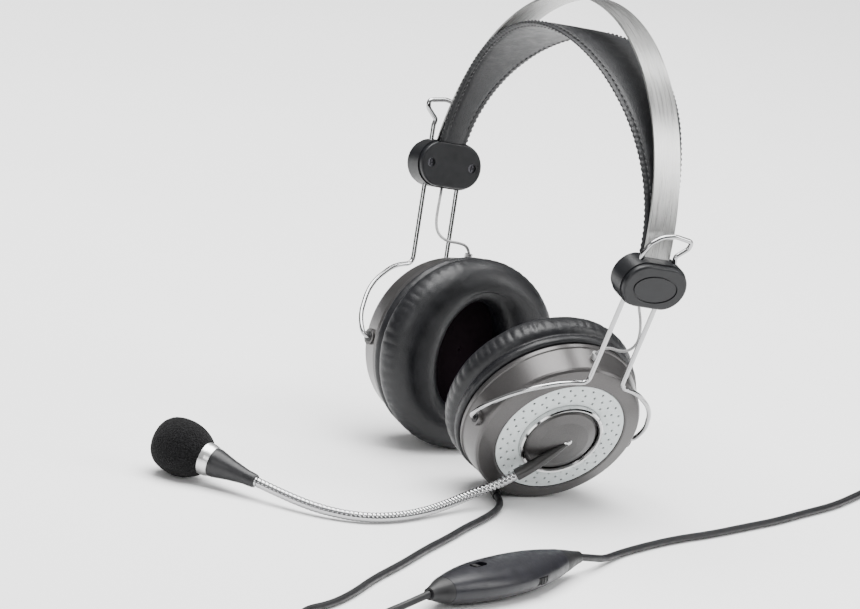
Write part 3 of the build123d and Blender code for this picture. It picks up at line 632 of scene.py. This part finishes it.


# ---------------------------------------------------------------- trim on the cups, and a painted highlight on the boom arm
ARM_ANGLE = math.radians(229.0)     # direction of the boom arm in the left cup's plane
FELT_RADII = (18.6, 27.6)
FELT_HEIGHTS = (6.3, 6.9)           # within the thickness of the trim ring
HIGHLIGHT_OVAL_HALF = (2.5, 1.15)              # half axes of the bright chrome oval that gives the painted highlight, along and across the arm
HIGHLIGHT_OVAL_RISE = 0.75


def turned_ring(name, cup, outline, mat, around=120):
    """A closed ring with a (radius, height) outline, in a cup's frame."""
    vertices = []
    for i in range(around):
        a = 2 * math.pi * i / around
        for r, w in outline:
            vertices.append(cup @ (Vector((r * math.cos(a), r * math.sin(a), w)) * MM))
    return link_mesh(name, vertices, grid_faces(around, len(outline), True, True), mat)


def grille_felt(side, cup):
    """Black felt in the ring, which shows through its holes."""
    (inner, outer), (low, high) = FELT_RADII, FELT_HEIGHTS
    outline = ((inner, low), (outer, low), (outer, high), (inner, high))
    felt = turned_ring(f"grille_felt_{side}", cup, outline, M["cloth"])
    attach(felt, f"{side}_cup")


def boom_highlight_oval(cup):
    """A small bright chrome oval where the boom arm leaves the cap: a painted highlight, standing in for the
    light that catches the arm there.
    """
    rings, around = 8, 28
    along_arm = Vector((math.cos(ARM_ANGLE), math.sin(ARM_ANGLE), 0))
    across = Vector((-along_arm.y, along_arm.x, 0))
    centre = along_arm * -1.2 + Vector((0, 0, 12.6))
    vertices = [cup @ ((centre + Vector((0, 0, HIGHLIGHT_OVAL_RISE))) * MM)]
    for i in range(1, rings + 1):
        lift = math.pi / 2 * i / rings
        for k in range(around):
            a = 2 * math.pi * k / around
            flat = along_arm * (HIGHLIGHT_OVAL_HALF[0] * math.cos(a)) + across * (HIGHLIGHT_OVAL_HALF[1] * math.sin(a))
            spot = centre + flat * math.sin(lift) + Vector((0, 0, HIGHLIGHT_OVAL_RISE * math.cos(lift)))
            vertices.append(cup @ (spot * MM))
    faces = [(0, 1 + k, 1 + (k + 1) % around) for k in range(around)]
    faces += [tuple(v + 1 for v in f) for f in grid_faces(rings, around, False, True)]
    faces.append(tuple(range(1 + (rings - 1) * around, 1 + rings * around))[::-1])
    # bezel chrome oval, put here only to give the painted highlight on the arm
    highlight_oval = link_mesh("boom_highlight_oval", vertices, faces, M["bezel"])
    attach(highlight_oval, "boom")


for side, sign, leg, tilt in SIDES:
    grille_felt(side, cup_frame(sign, leg, tilt))
boom_highlight_oval(cup_frame(*SIDES[0][1:]))


# ---------------------------------------------------------------- ear cushions
def smooth_profile(points, count):
    """An open quadratic B-spline through the outline's control points, evenly sampled."""
    p = np.array([points[0], *points, points[-1]], float)
    dense = []
    for a, b, c in zip(p, p[1:], p[2:]):
        for t in np.linspace(0, 1, 12, endpoint=False):
            dense.append(0.5 * ((1 - t) ** 2 * a + (1 + 2 * t - 2 * t * t) * b + t * t * c))
    dense.append(p[-1])
    dense = np.array(dense)
    run = np.concatenate(([0.0], np.cumsum(np.linalg.norm(np.diff(dense, axis=0), axis=1))))
    even = np.linspace(0, run[-1], count)
    return np.stack([np.interp(even, run, dense[:, k]) for k in range(2)], 1)


def ear_cushion(side, cup, seed, pleat):
    """A puffed roll over an oval opening, gathered into pleats at the seam behind its widest line."""
    rng = random.Random(seed)
    around, across = 360, 76
    # (radius, height over the pivot plane), outer skirt first; `inner` counts from the opening's edge
    skirt = [(37.4, -8.3), (38.4, -8.25), (39.5, -8.8), (39.7, -10.6), (38.9, -12.0), (38.3, -12.7)]
    roll = [
        (38.7, -13.2), (40.3, -14.6), (41.0, -17.2), (40.5, -20.4), (38.8, -23.6), (35.8, -26.1),
        (32.3, -27.5), (28.6, -27.4),
    ]
    inner = [
        (6.6, -26.6), (3.4, -24.9), (1.3, -22.2), (0.2, -18.6), (0.0, -15.0), (0.5, -12.2), (1.9, -10.4),
    ]
    knots = [0.0]
    while knots[-1] < 2 * math.pi - 0.06:
        knots.append(knots[-1] + rng.uniform(0.075, 0.13))
    knots = np.array(knots) / knots[-1] * 2 * math.pi
    depth = [rng.uniform(0.5, 1.0) for _ in knots]
    vertices = []
    for i in range(around):
        a = 2 * math.pi * i / around
        hole = OPENING[0] * OPENING[1] / math.hypot(OPENING[1] * math.cos(a), OPENING[0] * math.sin(a))
        wobble = 0.35 * noise.noise(Vector((math.cos(a) * 2.2, math.sin(a) * 2.2, seed)))
        outline = skirt + [(r, w + wobble) for r, w in roll] + [(hole + d, w + wobble) for d, w in inner]
        profile = smooth_profile(outline, across)
        k = int(np.searchsorted(knots, a, side="right")) - 1
        k = max(0, min(k, len(knots) - 2))
        t = (a - knots[k]) / (knots[k + 1] - knots[k])
        crease = 1 - math.sin(math.pi * t) ** 0.6
        for j, (r, w) in enumerate(profile):
            s = j / (across - 1)
            gather = math.exp(-((s - 0.255) / 0.075) ** 2) * depth[k]
            tight = math.exp(-((s - 0.93) / 0.05) ** 2) * 0.5
            spot = Vector((r * math.cos(a) * 0.35, r * math.sin(a) * 0.35, w * 0.5 + seed))
            ripple = 0.12 * noise.noise(spot)
            push = -pleat * crease * gather + ripple + 0.12 * tight * math.sin(34 * a)
            r += push
            vertices.append(cup @ (Vector((r * math.cos(a), r * math.sin(a), w)) * MM))
    obj = link_mesh(f"cushion_{side}", vertices, grid_faces(around, across, True, True), M["cushion"])
    subdivide(obj, 1)
    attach(obj, f"{side}_cup")
    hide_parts(f"ear_cushion_{side}")


def inner_cloth(side, cup):
    """The stretched cloth over the driver: a shallow dome that tucks under the cushion's inner edge."""
    rings, around = 26, 72
    vertices = [cup @ (Vector((0, 0, -11.9)) * MM)]
    for i in range(1, rings + 1):
        s = i / rings
        for k in range(around):
            a = 2 * math.pi * k / around
            x, y = (OPENING[0] + 0.9) * s * math.cos(a), (OPENING[1] + 0.9) * s * math.sin(a)
            lift = -11.9 + 1.3 * s ** 3 + 0.12 * noise.noise(Vector((x * 0.3, y * 0.3, 5)))
            vertices.append(cup @ (Vector((x, y, lift)) * MM))
    faces = [(0, 1 + k, 1 + (k + 1) % around) for k in range(around)]
    for f in grid_faces(rings, around, False, True):
        faces.append(tuple(v + 1 for v in f))
    obj = link_mesh(f"cloth_{side}", vertices, faces, M["cloth"])
    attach(obj, f"{side}_cup")
    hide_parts(f"inner_cloth_{side}")


for index, (side, sign, leg, tilt) in enumerate(SIDES):
    ear_cushion(side, cup_frame(sign, leg, tilt), 11 + index, (0.62, 0.34)[index])
    inner_cloth(side, cup_frame(sign, leg, tilt))


# ---------------------------------------------------------------- head strap
STRAP_R = (83.3, 73.8)
STRAP_Z = 185.5
STRAP_HALF = (6.6, 19.5)
SEAM_INSET = 2.4                    # from the strap's edge to its stitched groove
SCALLOP_ROWS = 4.2                  # mesh rows for each small wave along the strap's edge


def strap_point(angle, across, out):
    """A point of the strap: its angle round the arch, distance across, and out from its middle surface."""
    x, z = STRAP_R[0] * math.cos(angle), STRAP_R[1] * math.sin(angle)
    n = Vector((math.cos(angle) / STRAP_R[0], 0, math.sin(angle) / STRAP_R[1])).normalized()
    return at(x + n.x * out, across, STRAP_Z + z + n.z * out)


def strap_half(angle):
    """Half width of the strap: narrow at the blocks, wide over the crown."""
    share = math.cos(angle)
    return STRAP_HALF[0] + (STRAP_HALF[1] - STRAP_HALF[0]) * (1 - share * share)


def head_strap():
    """Two leather faces over thin padding, rolled at the edges and stitched a few millimetres inside them."""
    rows, ring = 420, 44
    vertices = []
    for i in range(rows):
        angle = math.pi * i / (rows - 1)
        half = strap_half(angle)
        scallop = 0.16 * math.sin(i * 2 * math.pi / SCALLOP_ROWS)
        for k in range(ring):
            a = 2 * math.pi * k / ring
            c, s = math.cos(a), math.sin(a)
            y = half * math.copysign(abs(c) ** 0.42, c)
            edge = abs(y) / half
            groove = math.exp(-((half - abs(y) - SEAM_INSET) / 0.5) ** 2)
            crown = 1.0 - 0.35 * edge ** 3
            thick = (1.45 * crown - 0.42 * groove + scallop * edge ** 6) * math.copysign(abs(s) ** 0.62, s)
            thick += 0.1 * noise.noise(Vector((i * 0.05, y * 0.25, 3 if s > 0 else 9)))
            y += 0.25 * math.copysign(1, c) * edge ** 8 * math.sin(i * 2 * math.pi / SCALLOP_ROWS)
            vertices.append(strap_point(angle, y, thick))
    faces = grid_faces(rows, ring, False, True)
    faces.append(tuple(range(ring))[::-1])
    faces.append(tuple(range((rows - 1) * ring, rows * ring)))
    obj = link_mesh("strap_leather", vertices, faces, M["strap"])
    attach(obj, "headband")
    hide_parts("head_strap")


def stitches():
    """Short raised threads in the groove along both edges, on both faces of the strap."""
    vertices, faces = [], []
    count = 88
    around = 6
    for face in (-1, 1):
        for edge in (-1, 1):
            for i in range(4, count - 4):
                middle = math.pi * (i + 0.5) / count
                reach = 0.33 * math.pi / count
                base = len(vertices)
                for j in range(5):
                    t = j / 4
                    angle = middle + (2 * t - 1) * reach
                    y = edge * (strap_half(angle) - SEAM_INSET)
                    fat = 0.3 * math.sin(math.pi * (0.15 + 0.7 * t))
                    for k in range(around):
                        a = 2 * math.pi * k / around
                        lift = 1.02 + 0.16 * math.sin(math.pi * t) + fat * math.sin(a)
                        vertices.append(strap_point(angle, y + fat * math.cos(a), face * lift))
                for f in grid_faces(5, around, False, True):
                    faces.append(tuple(base + v for v in f))
                faces.append(tuple(base + k for k in range(around))[::-1])
                faces.append(tuple(base + 4 * around + k for k in range(around)))
    obj = link_mesh("strap_stitches", vertices, faces, M["thread"])
    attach(obj, "headband")


head_strap()
stitches()


# ---------------------------------------------------------------- microphone foam
def mic_foam():
    """A slightly egg-shaped foam ball, pitted all over, with a dished throat that grips the collar."""
    start = Vector((32.0, -68.6, 7.2))
    centre = Vector((0.6, -87.2, 12.0))
    axis = (centre - start).normalized()
    m = axes(start * MM, axis.orthogonal().normalized(), axis)
    distance = (centre - start).length
    back = 24.7                     # the foam's throat, along the axis from the cone's narrow end
    outline = [
        (4.9, back + 1.2), (5.4, back + 0.2), (6.6, back - 0.1), (8.2, back + 1.0), (10.1, distance - 8.0),
        (11.5, distance - 4.0), (11.9, distance + 0.8), (10.9, distance + 6.4), (8.3, distance + 9.8),
        (4.4, distance + 11.4), (0.02, distance + 11.6),
    ]
    profile = smooth_profile(outline, 90)
    around = 180
    vertices = []
    for i in range(around):
        a = 2 * math.pi * i / around
        for r, h in profile:
            p = Vector((r * math.cos(a), r * math.sin(a), h))
            pit = 0.1 * noise.noise(p * 1.9) + 0.07 * noise.noise(p * 4.3) + 0.05 * noise.noise(p * 0.25)
            p.x *= 1 + pit / 12
            p.y *= 1 + pit / 12
            p.z += pit * 0.6
            vertices.append(m @ (p * MM))
    faces = grid_faces(around, len(profile), True, False)
    obj = link_mesh("foam_ball", vertices, faces, M["foam"])
    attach(obj, "boom")
    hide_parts("mic_foam")


mic_foam()


# ---------------------------------------------------------------- floor and light
def floor():
    mat, n = material("floor_white", (0.9, 0.9, 0.9), 0.7, Specular_IOR_Level=0.1)
    n.color(n.noise(6.0, 2.0), (0.89, 0.89, 0.89), (0.91, 0.91, 0.91))
    size = 9.0
    corners = [(-size, -size, 0), (size, -size, 0), (size, size, 0), (-size, size, 0)]
    obj = link_mesh("floor", corners, [(0, 1, 2, 3)], mat, False)
    obj.location = (0, 0, cad_lo.z - 0.0002)


def area_light(name, place, aim, size, power):
    data = bpy.data.lights.new(name, "AREA")
    data.shape = "RECTANGLE"
    data.size, data.size_y = size
    data.energy = power
    light = bpy.data.objects.new(name, data)
    light.location = place
    light.rotation_euler = (Vector(aim) - Vector(place)).to_track_quat("-Z", "Y").to_euler()
    bpy.context.scene.collection.objects.link(light)


def world():
    """A soft white studio whose walls are dark just above the floor, so that bright metal has edges."""
    w = bpy.data.worlds.new("studio")
    bpy.context.scene.world = w
    w.use_nodes = True
    tree = w.node_tree
    coords = tree.nodes.new("ShaderNodeTexCoord")
    split = tree.nodes.new("ShaderNodeSeparateXYZ")
    ramp = tree.nodes.new("ShaderNodeValToRGB")
    tree.links.new(coords.outputs["Generated"], split.inputs[0])
    tree.links.new(split.outputs["Z"], ramp.inputs["Fac"])
    stops = ((0.0, 0.02), (0.16, 0.05), (0.4, 0.8), (0.9, 1.0))
    while len(ramp.color_ramp.elements) < len(stops):
        ramp.color_ramp.elements.new(0.5)
    for element, (position, value) in zip(ramp.color_ramp.elements, stops):
        element.position = position
        element.color = (value, value, value, 1)
    background = tree.nodes["Background"]
    tree.links.new(ramp.outputs["Color"], background.inputs["Color"])
    background.inputs["Strength"].default_value = 0.6


floor()
world()
area_light("key", (-0.1, 0.1, 1.5), (0, 0, 0.05), (1.5, 1.5), 84.0)
area_light("front", (1.5, -1.6, 0.9), (0, 0, 0.1), (0.7, 0.7), 12.0)
area_light("side", (0.9, 1.2, 0.8), (0, 0.05, 0.1), (0.5, 1.0), 14.0)
